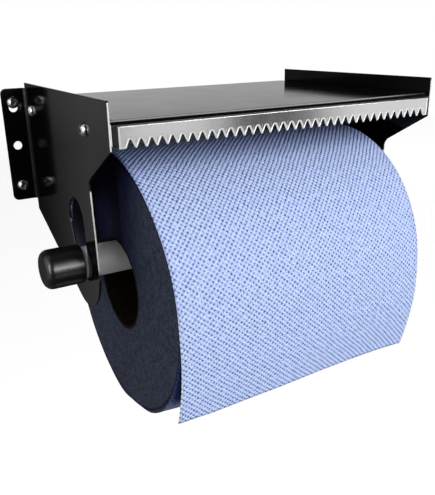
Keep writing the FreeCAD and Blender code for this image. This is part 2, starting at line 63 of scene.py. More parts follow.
# How far the loose turns hang out of round, in metres, at such angles: at the left end, and
# further in. The one goes over into the other within a share of the roll's width.
LEFT_END_SAG = ((-125, 0.0), (-112, 0.001), (-98, 0.003), (-92, 0.0022), (-85, 0.0002), (-75, 0.0),
                (-64, 0.0022), (-52, 0.0026), (-38, 0.001), (-22, 0.0))
INNER_SAG = ((-140, 0.0), (-110, 0.001), (-90, 0.0032), (-68, 0.0055), (-50, 0.0032), (-20, 0.0))
LEFT_END_SHARE = 0.09
# How far the outer turns are pressed in at the front of the right end, the share from which on
# they are, and the middle and half the width of the pressed part in degrees.
FRONT_DENT = 0.003
DENT_FROM = 0.45
DENT_ANGLE = 8
DENT_REACH = 50
# The room between the wound paper and the turns that hang loose below it, to both sides of the
# roll's nominal radius.
ROOM_INSIDE = 0.0003
ROOM_OUTSIDE = 0.0001
# The angles between which the loose turns reach, and by what share they fill up to the round at
# such angles where the wound paper is slimmer.
LOOSE_FROM = -170
LOOSE_TO = -6
FILLING = ((-158, 0), (-140, 1), (-55, 1), (-12, 0))

# The sheet, which is the outermost layer: where it touches the roll, how thick it is, how far it
# stands off, how high it is over the top, how much tighter it bends behind, and how far below the
# back it starts, in degrees.

SHEET_INNER = 0.1113
SHEET_THICKNESS = 0.00025
SHEET_LIFT = 0.0001
TOP_SLACK = 0.003
BACK_TUCK = 0.0013
WRAP_START = 20
# The free tail: how far it bends back in radians, how far its right side stands back, how far its
# left side bows to the right, how far its end waves, in how many turns across and from which part
# of one, within which share of it the roll's dent fades, and how its lower edge rises and falls
# from left to right.
TAIL_LENGTH = 0.0812
TAIL_BEND = 0.24
TAIL_TWIST = 0.007
TAIL_BOW = 0.0014
TAIL_WAVE = 0.0009
WAVE_TURNS = 1.3
WAVE_START = 0.6
DENT_FADE = 0.4
LOWER_EDGE = ((0, 0.0006), (0.13, -0.0011), (0.3, -0.0004), (0.57, 0.0009), (0.72, 0.0), (0.9, -0.0018),
              (1, -0.0034))

# The blade and its teeth

BLADE_LEFT = -0.1435
BLADE_RIGHT = 0.1461
BLADE_FRONT = -0.217
BLADE_THICKNESS = 0.001
BLADE_TOP = 0.0404
BLADE_TIPS = 0.0254
TOOTH_COUNT = 35
TOOTH_DEPTH = 0.0058
TIP_WIDTH = 0.0012
END_LAND = 0.0081
GULLET_RADIUS = 0.001
BEVEL_WIDTH = 0.0014
BEVEL_DEPTH = 0.0006
# The bevel of the blade's upper edge, down its face and back from it.
TOP_BEVEL_WIDTH = 0.0004
TOP_BEVEL_DEPTH = 0.0003

# The embossing's two sets of rows, in turns per metre across and up the paper, how deep it goes,
# and how far crumples shift it.

EMBOSSING = ((-219.7, 203.0, 0), (201.5, 224.6, 0))
EMBOSSING_DEPTH = 0.0012
EMBOSSING_DRIFT = 0.0022

# Where a pale highlight is painted on the plates' front cut edges: between two heights on the arm that
# holds the axle, and so far out from the wall on the arm and at the front corner, on edges that face
# the front. Each comes in between two values.

HIGHLIGHT_ARM_BOTTOM = (-0.079, -0.073)
HIGHLIGHT_ARM_TOP = (-0.014, -0.012)
HIGHLIGHT_ARM_OUT = (0.135, 0.145)
HIGHLIGHT_CORNER_OUT = (0.19, 0.2)
HIGHLIGHT_FACING = (0.88, 0.96)

# Colours. The paper's are those of the raised places, between them, a painted shade down in the pits,
# and a painted highlight along its cut edges. The nook colours are painted shade where surroundings
# close in. The wound end's are those of its layers, darker than the paper's own end as partly painted
# shade, and of its nooks.

COATING = (0.002, 0.002, 0.0022)
# A pale colour painted on the plates' front cut edges as a highlight.
EDGE_HIGHLIGHT_COLOUR = (0.7, 0.7, 0.7)
# The core board's colours, brown board darkened further as painted shade inside the core.
BOARD_DARK = (0.006, 0.0035, 0.0018)
BOARD_PALE = (0.014, 0.009, 0.005)
PAPER_HIGH = (0.66, 0.78, 1.0)
PAPER_LOW = (0.39, 0.51, 1.0)
PAPER_PIT_SHADE = (0.05, 0.1, 0.62)
PAPER_EDGE_HIGHLIGHT = (0.74, 0.86, 1.0)
ROLL_NOOK_SHADE = (0.001, 0.016, 0.1)
SHEET_NOOK_SHADE = (0.38, 0.5, 1.0)
# The wound end's colours, darker than the paper's own end as partly painted shade for the little light
# that reaches the ends.
LAYER_DARK = (0.01, 0.016, 0.034)
LAYER_PALE = (0.057, 0.067, 0.107)
LAYER_NOOK_SHADE = (0.0008, 0.003, 0.03)

# What the glossy faces mirror: brightness by heading, in degrees from the back to the right, in
# bands from below to above. Each band comes in between two slopes, which are rises over runs.

LEFT_SIDE = ((-180, 0.012), (-142, 0.012), (-128, 0.5), (-75, 0.5), (-58, 0.04), (-42, 0.08), (-30, 0.13))
LOWER_LEFT = LEFT_SIDE + ((-23, 0.2), (-19, 0.14), (-17.5, 0.05), (-16, 0.01), (-14.5, 0.0), (-8, 0.0))
FRONT_SIDE = ((40, 0.05), (62, 6.0), (100, 6.0), (112, 0.7), (126, 0.85), (139.5, 0.85), (142.5, 0.12),
              (149, 0.08), (152.5, 0.75), (161, 0.75), (165, 0.012))
TENT = (
    (0, 0, ((-180, 0.01), (-26, 0.13), (-8, 0.03), (40, 0.01), (70, 0.3), (120, 0.3), (140, 0.01))),
    (-0.7, -0.62, LOWER_LEFT + ((40, 0.05), (62, 2.0), (112, 0.7), (150, 0.9), (175, 0.9))),
    (-0.52, -0.42, LOWER_LEFT + FRONT_SIDE),
    (-0.16, -0.08, LEFT_SIDE + ((-23, 0.28), (-19, 0.18), (-16, 0.07), (-14, 0.02), (-8, 0.0))
     + FRONT_SIDE),
    (-0.03, 0.03, ((-180, 0.1), (-130, 0.3), (-115, 0.9), (-80, 0.9), (-45, 0.02), (-20, 0.1),
                   (-2, 0.6), (15, 0.6), (35, 0.54), (52, 0.56), (80, 0.02), (130, 0.02), (155, 1.2),
                   (180, 1.2))),
    (0.14, 0.24, ((-180, 0.6), (-140, 0.1), (-120, 0.9), (-75, 0.9), (-50, 0.03), (0, 0.03),
                  (120, 0.03), (150, 1.2))),
    (0.34, 0.44, ((-180, 0.02), (-140, 0.1), (-120, 1.2), (-75, 1.2), (-50, 0.03), (150, 0.03))),
    (0.8, 1.2, ((-180, 0.02), (-130, 0.02), (-110, 0.5), (-70, 0.5), (-40, 0.02), (180, 0.02))),
)

# Lamps: name, place, what it is aimed at, width, height and watts

LAMPS = (
    ("key", (1.0, -1.75, 0.62), (0, -0.15, -0.05), 1.2, 1.2, 29),
    ("edge", (-1.3, -0.9, 0.35), (-0.1, -0.15, -0.02), 0.25, 1.0, 7.0),
    ("front", (0.06, -1.5, 0.25), (-0.12, -0.15, -0.05), 0.3, 0.3, 3.0),
)
# The light from all round, at the horizon and from overhead.
LEVEL_LIGHT = 0.54
OVERHEAD_LIGHT = 0.16
FLOOR_HEIGHT = -0.9
FLOOR_REACH = 6.0
TENT_RADIUS = 5.0

# The camera: its place, its turns in radians, and its focal length in pixels of a photograph of
# the given height

CAMERA_PLACE = (-0.2872, -0.5897, 0.0951)
CAMERA_YAW = 0.526368
CAMERA_PITCH = 0.339174
CAMERA_ROLL = -0.0194201
FOCAL_PIXELS = 601.24
PHOTO_HEIGHT = 495
SENSOR_HEIGHT = 36


# Node material helpers

def new_material(name, **values):
    """A material whose Principled shader has the given plain values."""
    material = bpy.data.materials.new(name)
    material.use_nodes = True
    shader = material.node_tree.nodes["Principled BSDF"]
    for socket, value in values.items():
        shader.inputs[socket.replace("_", " ")].default_value = value
    return material, material.node_tree, shader


def add(tree, kind, **values):
    """A node with some of its settings, or its input sockets, given by name."""
    node = tree.nodes.new(kind)
    for key, value in values.items():
        if hasattr(node, key):
            setattr(node, key, value)
        else:
            node.inputs[key.replace("_", " ")].default_value = value
    return node


def coordinates(tree, scale=(1, 1, 1)):
    """Places on the piece in the row frame, stretched by scale."""
    source = tree.nodes.new("ShaderNodeTexCoord")
    mapping = add(tree, "ShaderNodeMapping")
    mapping.inputs["Scale"].default_value = scale
    tree.links.new(source.outputs["Object"], mapping.inputs["Vector"])
    return mapping.outputs["Vector"]


def noise(tree, vector, scale, detail, roughness=0.5, distortion=0.0):
    """A noise about 0.5, with scale lumps per unit of the vector."""
    node = add(tree, "ShaderNodeTexNoise", Scale=scale, Detail=detail, Roughness=roughness,
               Distortion=distortion)
    tree.links.new(vector, node.inputs["Vector"])
    return node.outputs["Fac"]


def spread(tree, value, low, high, to_low, to_high):
    """Map a value from one range to another."""
    node = add(tree, "ShaderNodeMapRange")
    for number, bound in enumerate((low, high, to_low, to_high), start=1):
        node.inputs[number].default_value = bound
    tree.links.new(value, node.inputs["Value"])
    return node.outputs["Result"]


def math_node(tree, operation, *values):
    """What an operation gives. Each value is a plain number or a socket."""
    node = add(tree, "ShaderNodeMath", operation=operation)
    for number, value in enumerate(values):
        if isinstance(value, (int, float)):
            node.inputs[number].default_value = value
        else:
            tree.links.new(value, node.inputs[number])
    return node.outputs[0]


def dot_product(tree, vector, direction):
    """How far a vector reaches along a direction."""
    node = add(tree, "ShaderNodeVectorMath", operation="DOT_PRODUCT")
    tree.links.new(vector, node.inputs[0])
    node.inputs[1].default_value = direction
    return node.outputs["Value"]


def ramp(tree, value, stops):
    """Colours along a value. stops are (place, colour)."""
    node = tree.nodes.new("ShaderNodeValToRGB")
    elements = node.color_ramp.elements
    while len(elements) < len(stops):
        elements.new(0.5)
    for element, (place, colour) in zip(elements, stops):
        element.position = place
        element.color = (*colour, 1)
    tree.links.new(value, node.inputs["Fac"])
    return node.outputs["Color"]


def bump(tree, shader, height, distance, strength, under=None):
    """Give a shader normals that follow a height. under are the normals to start from."""
    node = add(tree, "ShaderNodeBump", Strength=strength, Distance=distance)
    tree.links.new(height, node.inputs["Height"])
    if under is not None:
        tree.links.new(under, node.inputs["Normal"])
    tree.links.new(node.outputs["Normal"], shader.inputs["Normal"])


def blend(tree, factor, first, second):
    """A colour between two. Each is a plain colour or a socket."""
    node = add(tree, "ShaderNodeMix", data_type="RGBA")
    tree.links.new(factor, node.inputs["Factor"])
    for socket, colour in ((node.inputs["A"], first), (node.inputs["B"], second)):
        if isinstance(colour, tuple):
            socket.default_value = (*colour, 1)
        else:
            tree.links.new(colour, socket)
    return node.outputs["Result"]


def rounded_edges(tree, radius):
    """Normals that round the sharp edges of a sheet."""
    node = tree.nodes.new("ShaderNodeBevel")
    node.samples = 6
    node.inputs["Radius"].default_value = radius
    return node.outputs["Normal"]


def openness(tree, distance):
    """How open a place is to its surroundings: 1 in the open and 0 in a deep nook."""
    node = add(tree, "ShaderNodeAmbientOcclusion", samples=8, Distance=distance)
    return node.outputs["AO"]


# Materials

def make_coating(name, highlighted_edges=False):
    """Glossy black powder coat with a faint orange peel. With the flag set, a highlight is painted in a
    pale colour on the front-facing cut edges, at the front corner and down the arm that holds the axle."""
    material, tree, shader = new_material(name, Base_Color=(*COATING, 1), IOR=1.5)
    place = coordinates(tree)
    rounded = rounded_edges(tree, 0.0009 if highlighted_edges else 0.0006)
    # Painted highlight: front-facing cut edges at the front corner and down the arm take a pale colour.
    if highlighted_edges:
        facing = dot_product(tree, rounded, (0, -1, 0))
        forward = dot_product(tree, place, (0, -1, 0))
        height = dot_product(tree, place, (0, 0, 1))
        arm_height = math_node(tree, "MULTIPLY", spread(tree, height, *HIGHLIGHT_ARM_BOTTOM, 0, 1),
                               spread(tree, height, *HIGHLIGHT_ARM_TOP, 1, 0))
        on_arm = math_node(tree, "MULTIPLY", spread(tree, forward, *HIGHLIGHT_ARM_OUT, 0, 1), arm_height)
        at_corner = spread(tree, forward, *HIGHLIGHT_CORNER_OUT, 0, 1)
        painted_highlight = math_node(tree, "MULTIPLY", spread(tree, facing, *HIGHLIGHT_FACING, 0, 1),
                         math_node(tree, "MAXIMUM", at_corner, on_arm))
        tree.links.new(blend(tree, painted_highlight, COATING, EDGE_HIGHLIGHT_COLOUR), shader.inputs["Base Color"])
    peel = noise(tree, place, 700, 2)
    bump(tree, shader, peel, 0.00001, 0.3, rounded)
    tree.links.new(spread(tree, noise(tree, place, 35, 4), 0.3, 0.7, 0.09, 0.13),
                   shader.inputs["Roughness"])
    return material


def make_stainless():
    """Bright steel with a clouded, lightly brushed face."""
    material, tree, shader = new_material("stainless", Base_Color=(0.72, 0.72, 0.72, 1),
                                          Metallic=1.0)
    place = coordinates(tree)
    cloud = noise(tree, place, 45, 4, 0.55, 0.5)
    tree.links.new(spread(tree, cloud, 0.3, 0.7, 0.08, 0.12), shader.inputs["Roughness"])
    grain = noise(tree, coordinates(tree, (1, 1, 40)), 90, 4)
    height = math_node(tree, "ADD", grain, math_node(tree, "MULTIPLY", cloud, 2.5))
    bump(tree, shader, height, 0.0002, 0.1, rounded_edges(tree, 0.0003))
    return material


def make_ground_rim():
    """The blade's ground edges, rougher and paler than its face."""
    material, tree, shader = new_material("ground_rim", Base_Color=(0.76, 0.76, 0.75, 1),
                                          Metallic=0.3, Roughness=0.35)
    bump(tree, shader, noise(tree, coordinates(tree), 1200, 3), 0.00005, 0.3)
    return material


def make_satin_tube():
    """Pale steel with a faint grain round the tube."""
    material, tree, shader = new_material("satin_tube", Base_Color=(0.8, 0.8, 0.79, 1),
                                          Metallic=0.1)
    grain = noise(tree, coordinates(tree, (60, 1, 1)), 40, 3)
    tree.links.new(spread(tree, grain, 0.3, 0.7, 0.38, 0.55), shader.inputs["Roughness"])
    return material


def make_rubber():
    """Smooth black rubber with a fine tooth."""
    material, tree, shader = new_material("black_rubber", Base_Color=(0.004, 0.004, 0.004, 1),
                                          Roughness=0.3)
    shader.inputs["Specular IOR Level"].default_value = 0.8
    bump(tree, shader, noise(tree, coordinates(tree), 1500, 2), 0.00003, 0.4)
    return material


def make_core_board():
    """Dark brown board with short fibres, darkened further as painted shade inside the core."""
    material, tree, shader = new_material("core_board", Roughness=0.9)
    shader.inputs["Specular IOR Level"].default_value = 0.1
    place = coordinates(tree)
    fibres = noise(tree, place, 400, 4)
    # The board's colours are darkened as painted shade inside the core.
    tree.links.new(ramp(tree, fibres, [(0.3, BOARD_DARK), (0.7, BOARD_PALE)]),
                   shader.inputs["Base Color"])
    bump(tree, shader, fibres, 0.0002, 0.5)
    return material


def wave(tree, vector, direction):
    """0 to 1, a smooth wave with so many turns per metre along a direction."""
    turns = math_node(tree, "MULTIPLY", dot_product(tree, vector, direction), 2 * math.pi)
    return math_node(tree, "MULTIPLY_ADD", math_node(tree, "COSINE", turns), 0.5, 0.5)


def crumpled(tree, flat):
    """Places on the paper, shifted as its crumples shift the embossing."""
    crumple = add(tree, "ShaderNodeTexNoise", Scale=45.0, Detail=4.0, Roughness=0.65)
    tree.links.new(flat, crumple.inputs["Vector"])
    centred = add(tree, "ShaderNodeVectorMath", operation="SUBTRACT")
    centred.inputs[1].default_value = (0.5, 0.5, 0.5)
    tree.links.new(crumple.outputs["Color"], centred.inputs[0])
    drift = add(tree, "ShaderNodeVectorMath", operation="SCALE")
    drift.inputs["Scale"].default_value = EMBOSSING_DRIFT
    tree.links.new(centred.outputs["Vector"], drift.inputs[0])
    shifted = add(tree, "ShaderNodeVectorMath", operation="ADD")
    tree.links.new(flat, shifted.inputs[0])
    tree.links.new(drift.outputs["Vector"], shifted.inputs[1])
    return shifted.outputs["Vector"]


def make_paper(name, nook_shade, reach, open_from, edge_highlight):
    """Blue wiping paper with a square pattern of embossed pits. Where its surroundings within reach leave
    it less open than open_from, it takes the painted shade colour given as the nook colour. The tail's
    cut side edges take a painted highlight, as strong as the given share. The UV map is in metres, with
    the tail's part below 0."""
    pit_sharpness = 2.4
    groove_sharpness = 2.0
    pit_shade_strength = 0.72
    pit_share = 0.8
    groove_share = 0.52
    fibre_share = 0.3
    nook_softness = 0.5
    edge_width = 0.001
    edge_fade = 0.0018
    material, tree, shader = new_material(name, Roughness=0.82)
    shader.inputs["Specular IOR Level"].default_value = 0.15
    source = tree.nodes.new("ShaderNodeUVMap")
    source.uv_map = "paper"
    flat = source.outputs["UV"]
    shifted = crumpled(tree, flat)
    rows = [wave(tree, shifted, direction) for direction in EMBOSSING]
    pit = math_node(tree, "POWER", math_node(tree, "MULTIPLY", *rows), pit_sharpness)
    groove = math_node(tree, "ADD", *(math_node(tree, "POWER", row, groove_sharpness) for row in rows))
    fibres = noise(tree, flat, 1400, 3, 0.6)
    patches = noise(tree, flat, 240, 3, 0.6)
    tufts = noise(tree, flat, 900, 2, 0.5)
    uneven = spread(tree, patches, 0.3, 0.7, 0.3, 1.5)
    raised = blend(tree, spread(tree, tufts, 0.35, 0.65, 0, 1), PAPER_LOW, PAPER_HIGH)
    # Painted shade: the pits are darkened toward a deep blue, unevenly.
    pit_shade = math_node(tree, "MULTIPLY", math_node(tree, "MULTIPLY", pit, uneven), pit_shade_strength)
    embossed = blend(tree, pit_shade, raised, PAPER_PIT_SHADE)
    # Painted shade: the paper goes over to the nook colour where its surroundings close in.
    closed = spread(tree, openness(tree, reach), open_from - nook_softness, open_from, 1, 0)
    parts = add(tree, "ShaderNodeSeparateXYZ")
    tree.links.new(flat, parts.inputs["Vector"])
    across, along = parts.outputs["X"], parts.outputs["Y"]
    # Painted highlight: a pale strip along the tail's cut side edges.
    near_edge = math_node(tree, "MAXIMUM",
                          spread(tree, across, ROLL_LEFT + edge_fade, ROLL_LEFT + edge_width, 0, 1),
                          spread(tree, across, ROLL_RIGHT - edge_fade, ROLL_RIGHT - edge_width, 0, 1))
    on_tail = spread(tree, along, -0.02, 0.02, edge_highlight, 0)
    edged = blend(tree, math_node(tree, "MULTIPLY", near_edge, on_tail), embossed, PAPER_EDGE_HIGHLIGHT)
    tree.links.new(blend(tree, closed, edged, nook_shade), shader.inputs["Base Color"])
    sunk = math_node(tree, "ADD", math_node(tree, "MULTIPLY", pit, pit_share),
                     math_node(tree, "MULTIPLY", groove, groove_share))
    depth = math_node(tree, "MULTIPLY", sunk, uneven)
    height = math_node(tree, "SUBTRACT", math_node(tree, "MULTIPLY", fibres, fibre_share), depth)
    bump(tree, shader, height, EMBOSSING_DEPTH, 1.0)
    return material


def distance_from_axis(tree, place):
    """How far a place is from the roll's middle line."""
    centre = add(tree, "ShaderNodeVectorMath", operation="SUBTRACT")
    centre.inputs[1].default_value = (0, ROLL_Y, ROLL_Z)
    tree.links.new(place, centre.inputs[0])
    flat = add(tree, "ShaderNodeVectorMath", operation="MULTIPLY")
    flat.inputs[1].default_value = (0, 1, 1)
    tree.links.new(centre.outputs["Vector"], flat.inputs[0])
    length = add(tree, "ShaderNodeVectorMath", operation="LENGTH")
    tree.links.new(flat.outputs["Vector"], length.inputs[0])
    return length.outputs["Value"]


def make_paper_ends(name, rim_shade):
    """The roll's wound end: dark slate blue, with fine rings and faint smears, made darker than the
    paper's own end as partly painted shade. The given share is how much painted shade darkens its
    outermost layers."""
    nook_reach = 0.08
    rim_from, rim_to = 0.1085, 0.1105
    material, tree, shader = new_material(name, Roughness=0.75)
    shader.inputs["Specular IOR Level"].default_value = 0.25
    place = coordinates(tree)
    radius = distance_from_axis(tree, place)
    combine = tree.nodes.new("ShaderNodeCombineXYZ")
    tree.links.new(radius, combine.inputs["X"])
    fine = noise(tree, combine.outputs["Vector"], 2600, 2, 0.7)
    broad = noise(tree, combine.outputs["Vector"], 420, 3, 0.6)
    smear = noise(tree, place, 170, 5, 0.7)
    specks = noise(tree, place, 500, 2, 0.6)
    value = math_node(tree, "MULTIPLY", fine, 0.1)
    for part, weight in ((broad, 0.2), (smear, 0.3), (specks, 0.4)):
        value = math_node(tree, "ADD", value, math_node(tree, "MULTIPLY", part, weight))
    layers = ramp(tree, value, [(0.42, LAYER_DARK), (0.58, LAYER_PALE)])
    # Painted shade: the end goes over to the nook colour where the plate and shelf close in, and along
    # its outermost layers.
    closed = math_node(tree, "MAXIMUM", spread(tree, openness(tree, nook_reach), 0.4, 0.98, 1, 0),
                       spread(tree, radius, rim_from, rim_to, 0, rim_shade))
    tree.links.new(blend(tree, closed, layers, LAYER_NOOK_SHADE), shader.inputs["Base Color"])
    height = math_node(tree, "ADD", fine, math_node(tree, "MULTIPLY", broad, 1.5))
    bump(tree, shader, height, 0.00025, 0.5)
    return material


def make_screw_metal():
    """Bright zinc plate, slightly uneven."""
    material, tree, shader = new_material("plated_screw", Base_Color=(0.74, 0.74, 0.75, 1),
                                          Metallic=1.0)
    place = coordinates(tree)
    tree.links.new(spread(tree, noise(tree, place, 500, 3), 0.3, 0.7, 0.1, 0.22),
                   shader.inputs["Roughness"])
    return material


MATERIALS = {
    "black_coating": make_coating("black_coating"),
    "plate_coating": make_coating("plate_coating", highlighted_edges=True),
    "stainless": make_stainless(),
    "ground_rim": make_ground_rim(),
    "satin_tube": make_satin_tube(),
    "black_rubber": make_rubber(),
    "core_board": make_core_board(),
    "roll_paper": make_paper("roll_paper", ROLL_NOOK_SHADE, 0.12, 1.2, 0.0),
    "roll_paper_end": make_paper_ends("roll_paper_end", 0.75),
    "loose_paper_end": make_paper_ends("loose_paper_end", 0.1),
    "sheet_paper": make_paper("sheet_paper", SHEET_NOOK_SHADE, 0.05, 0.8, 0.9),
    "plated_screw": make_screw_metal(),
}
SIDE_PLATES = ("left_side_plate", "right_side_plate")
NODE_SLOT = {item["node"]: item["material_slot"] for item in frame["record"]["subparts"]}


def dress_nodes():
    """Give every CAD node the material of its slot."""
    for name, thing in NODES.items():
        look = "plate_coating" if name in SIDE_PLATES else NODE_SLOT[name]
        thing.data.materials.clear()
        thing.data.materials.append(MATERIALS[look])


dress_nodes()


# Pieces

def new_piece(name, vertices, faces, materials, node, body, smooth=True):
    """A mesh that rides on a body, and stands for a CAD node where one is named."""
    mesh = bpy.data.meshes.new(name)
    mesh.from_pydata([tuple(float(value) for value in vertex) for vertex in vertices], [], faces)
    for material in materials:
        mesh.materials.append(MATERIALS[material])
    piece = bpy.data.objects.new(name, mesh)
    bpy.context.scene.collection.objects.link(piece)
    if smooth:
        mesh.polygons.foreach_set("use_smooth", [True] * len(mesh.polygons))
    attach(piece, body)
    if node is not None:
        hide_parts(node)
    return piece


def grid_faces(rows, columns, closed=False):
    """Quads of a grid of points, row by row. closed joins the last column to the first."""
    faces = []
    for row in range(rows - 1):
        for column in range(columns if closed else columns - 1):
            after = (column + 1) % columns
            faces.append((row * columns + column, row * columns + after,
                          (row + 1) * columns + after, (row + 1) * columns + column))
    return faces


def set_paper_map(mesh, place_of):
    """Give a mesh the paper's UV map. place_of gives a vertex's place on the paper in metres."""
    uv = mesh.uv_layers.new(name="paper")
    places = [place_of(loop.vertex_index) for loop in mesh.loops]
    uv.data.foreach_set("uv", np.array(places, dtype=float).ravel())


def turn_outwards(mesh, weld=None):
    """Turn every face outwards, after points nearer to each other than weld are joined."""
    net = bmesh.new()
    net.from_mesh(mesh)
    if weld is not None:
        bmesh.ops.remove_doubles(net, verts=net.verts, dist=weld)
    bmesh.ops.recalc_face_normals(net, faces=net.faces)
    net.to_mesh(mesh)
    net.free()


def read_table(table, places):
    """Values at places, between the (place, value) pairs of a table."""
    return np.interp(places, [place for place, value in table], [value for place, value in table])


def in_degrees(angles):
    """Angles in radians as degrees from -180 to 180."""
    return (np.degrees(angles) + 180) % 360 - 180


def ring(x, radius, angles):
    """Points about the roll's middle line at angles in radians."""
    return np.stack([x, ROLL_Y - radius * np.cos(angles), ROLL_Z + radius * np.sin(angles)], 1)


def ripple(seed, angles, lowest, terms):
    """A smooth closed wobble of about unit height over angles in radians."""
    draw = np.random.default_rng(seed)
    total = np.zeros_like(angles)
    for term in range(lowest, lowest + terms):
        total += draw.normal() * np.cos(term * angles + draw.uniform(0, 2 * math.pi)) / term
    return total


def slip(angles):
    """How far the outer turns have slipped to the left at angles in radians."""
    return read_table(SLIP, in_degrees(angles))


def sag(angles, share):
    """How far the loose turns hang out of round at angles in radians and a share across."""
    inward = min(share / LEFT_END_SHARE, 1)
    fade = 1 - max(0, share - 0.5) / 0.5
    left_end = read_table(LEFT_END_SAG, in_degrees(angles))
    inner = read_table(INNER_SAG, in_degrees(angles))
    return (1 - inward) * left_end + inward * inner * fade


def slimming(share):
    """How much slimmer the roll is at a share across, so that its front can be pressed in."""
    return FRONT_DENT * max(0, share - DENT_FROM) / (1 - DENT_FROM)


def dent(angle, share):
    """How far the sheet is pressed in at an angle in radians and a share across."""
    past = float(in_degrees(angle)) - DENT_ANGLE
    if abs(past) >= DENT_REACH:
        return 0.0
    return slimming(share) * math.cos(past / DENT_REACH * math.pi / 2) ** 2


def make_roll():
    """The wound paper: uneven layers at both ends, and the embossed outside."""
    segments = 288
    layers = 56
    layer_step = 0.00011
    layer_follow = 0.86
    wobble_height = 0.00016
    rim_height = 0.0002
    rim_layers = 8
    rim_outside = 0.4
    setback = 0.00035
    deepest = 0.0012
    slip_from = 0.35
    corner = 0.0009
    corner_depth = 0.001
    chamfer_width = 0.0003
    chamfer_depth = 0.0002
    angles = np.linspace(0, 2 * math.pi, segments, endpoint=False)
    draw = np.random.default_rng(7)
    radii = np.linspace(CORE_RADIUS, ROLL_RADIUS - corner_depth, layers)
    rim = rim_height * ripple(3, angles, 5, 14)
    slipped = slip(angles)

    def end_rings(start, outward, pressed, seed):
        """Rings of one end from the core outwards. outward is -1 at the left end."""
        drift = 0.0
        rings = []
        for number, radius in enumerate(radii):
            drift = layer_follow * drift + draw.normal() * layer_step
            wobble = wobble_height * ripple(seed + number // 4, angles, 1, 5)
            share = number / (layers - 1)
            edge = rim * max(0, (number - layers + rim_layers) / rim_layers) - pressed * share ** 6
            inward = np.clip(setback + drift + wobble, 0, deepest)
            slip_share = max(0, (share - slip_from) / (1 - slip_from)) ** 1.5
            rings.append(ring(start - outward * inward - slip_share * slipped, radius + edge, angles))
        return rings

    left = end_rings(ROLL_LEFT, -1, slimming(0), 20)
    right = end_rings(ROLL_RIGHT, 1, slimming(1), 60)
    radius = ROLL_RADIUS - ROOM_INSIDE
    profile = [(ROLL_LEFT + chamfer_width, radius - chamfer_depth), (ROLL_LEFT + corner, radius)]
    profile += [(ROLL_LEFT + ROLL_WIDTH * share, radius) for share in np.linspace(0.03, 0.97, 24)]
    profile += [(ROLL_RIGHT - corner, radius), (ROLL_RIGHT - chamfer_width, radius - chamfer_depth)]
    outside = []
    for x, radius in profile:
        slimmed = radius - slimming((x - ROLL_LEFT) / ROLL_WIDTH)
        outside.append(ring(x - slipped, slimmed + rim * rim_outside, angles))
    rows = left + outside + right[::-1]
    vertices = np.concatenate(rows)
    faces = grid_faces(len(rows), segments, closed=True)
    last = (len(rows) - 1) * segments
    for column in range(segments):
        after = (column + 1) % segments
        faces.append((last + column, last + after, after, column))
    piece = new_piece("wound_paper", vertices, faces, ["roll_paper", "roll_paper_end"], "paper_roll",
                      "roll")
    mesh = piece.data
    outer_first = layers + 1
    outer_last = layers + len(profile) - 3
    places = np.zeros((len(mesh.loops), 2))
    for polygon in mesh.polygons:
        row, column = divmod(polygon.index, segments)
        polygon.material_index = 0 if outer_first <= row <= outer_last else 1
        for loop in polygon.loop_indices:
            vertex = mesh.loops[loop].vertex_index
            at = vertex % segments
            if column == segments - 1 and at == 0:
                at = segments
            places[loop] = (vertices[vertex][0], at / segments * 2 * math.pi * ROLL_RADIUS)
    uv = mesh.uv_layers.new(name="paper")
    uv.data.foreach_set("uv", places.ravel())


def make_loose_turns():
    """The outermost turns, which hang loose below the wound paper while it turns."""
    columns = 41
    count = 165
    thickness = 0.0003
    end_gap = 0.0004
    angles = np.radians(np.linspace(LOOSE_FROM, LOOSE_TO, count))
    filled = read_table(FILLING, np.degrees(angles))
    filled = filled * filled * (3 - 2 * filled)
    inner = []
    outer = []
    for share in np.linspace(0, 1, columns):
        x = ROLL_LEFT + end_gap + (ROLL_WIDTH - 2 * end_gap) * share - slip(angles)
        bore = ROLL_RADIUS + ROOM_OUTSIDE - slimming(share) + 0 * angles
        inner.append(ring(x, bore, angles))
        outer.append(ring(x, bore + thickness + filled * slimming(share) + sag(angles, share), angles))
    vertices = np.concatenate(inner + outer)
    shift = columns * count
    inner_faces = grid_faces(columns, count)
    outer_faces = [tuple(corner + shift for corner in reversed(face)) for face in inner_faces]
    rim_lines = [[first + number for number in range(count)] for first in (0, (columns - 1) * count)]
    rim_lines += [[first + number * count for number in range(columns)] for first in (0, count - 1)]
    rim_faces = [(here, after, after + shift, here + shift)
                 for line in rim_lines for here, after in zip(line, line[1:])]
    piece = new_piece("loose_turns", vertices, outer_faces + inner_faces + rim_faces,
                      ["roll_paper", "loose_paper_end"], None, "hanging_paper")
    mesh = piece.data
    set_paper_map(mesh, lambda vertex: (vertices[vertex][0], angles[vertex % count] * ROLL_RADIUS))
    for polygon in mesh.polygons[len(outer_faces):]:
        polygon.material_index = 1
        polygon.use_smooth = False
    turn_outwards(mesh)


def sheet_path():
    """The line that the sheet follows over the roll from behind to its front, as (y, z) from the
    roll's middle line."""
    rows = 60
    over = SHEET_INNER + TOP_SLACK + SHEET_LIFT
    behind = SHEET_INNER - BACK_TUCK + SHEET_LIFT
    path = []
    for turn in np.radians(np.linspace(180 + WRAP_START, 90, rows)):
        path.append((TOP_SLACK - behind * math.cos(turn),
                     TOP_SLACK + BACK_TUCK + behind * math.sin(turn)))
    for turn in np.radians(np.linspace(90, 0, rows)[1:]):
        path.append((TOP_SLACK - over * math.cos(turn), over * math.sin(turn)))
    return np.array(path)


